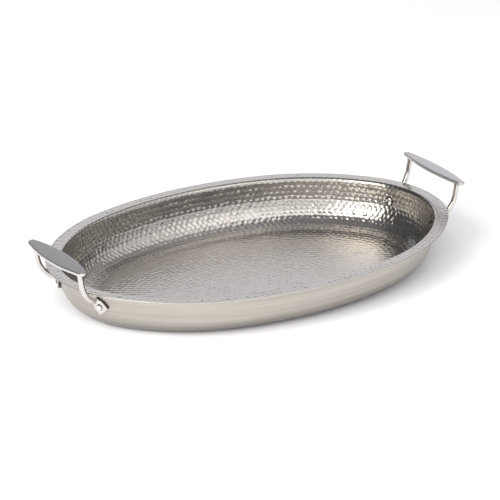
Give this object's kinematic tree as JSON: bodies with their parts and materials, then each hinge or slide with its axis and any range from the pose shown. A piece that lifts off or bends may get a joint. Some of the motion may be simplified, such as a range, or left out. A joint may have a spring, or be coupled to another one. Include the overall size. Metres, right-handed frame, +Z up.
{
  "type": "oval gratin pan",
  "caption": "Oval gratin pan with a hammered inside and flat flange, a smooth brushed outside, and raised leaf-shaped bar handles riveted to its ends",
  "frame": {"origin": "Under the middle of the pan, on the surface it stands on", "axes": "+X along the oval's long axis with a handle at each end, +Y across the pan, +Z up"},
  "size_m": [0.425, 0.266, 0.0694],
  "materials": {
    "hammered_steel": "hammered, half-bright",
    "brushed_steel": "finely brushed round the pan",
    "satin_steel": "matte satin top, brighter edge",
    "rod_steel": "polished to a soft shine",
    "polished_steel": "polished"
  },
  "bodies": {
    "root": {"hammered_liner": "hammered_steel", "outer_shell": "brushed_steel", "grip_left": "satin_steel", "grip_right": "satin_steel", "leg_left_front": "rod_steel", "leg_left_back": "rod_steel", "leg_right_front": "rod_steel", "leg_right_back": "rod_steel", "rivet_left_front": "polished_steel", "rivet_left_back": "polished_steel", "rivet_right_front": "polished_steel", "rivet_right_back": "polished_steel"}
  },
  "joints": []
}
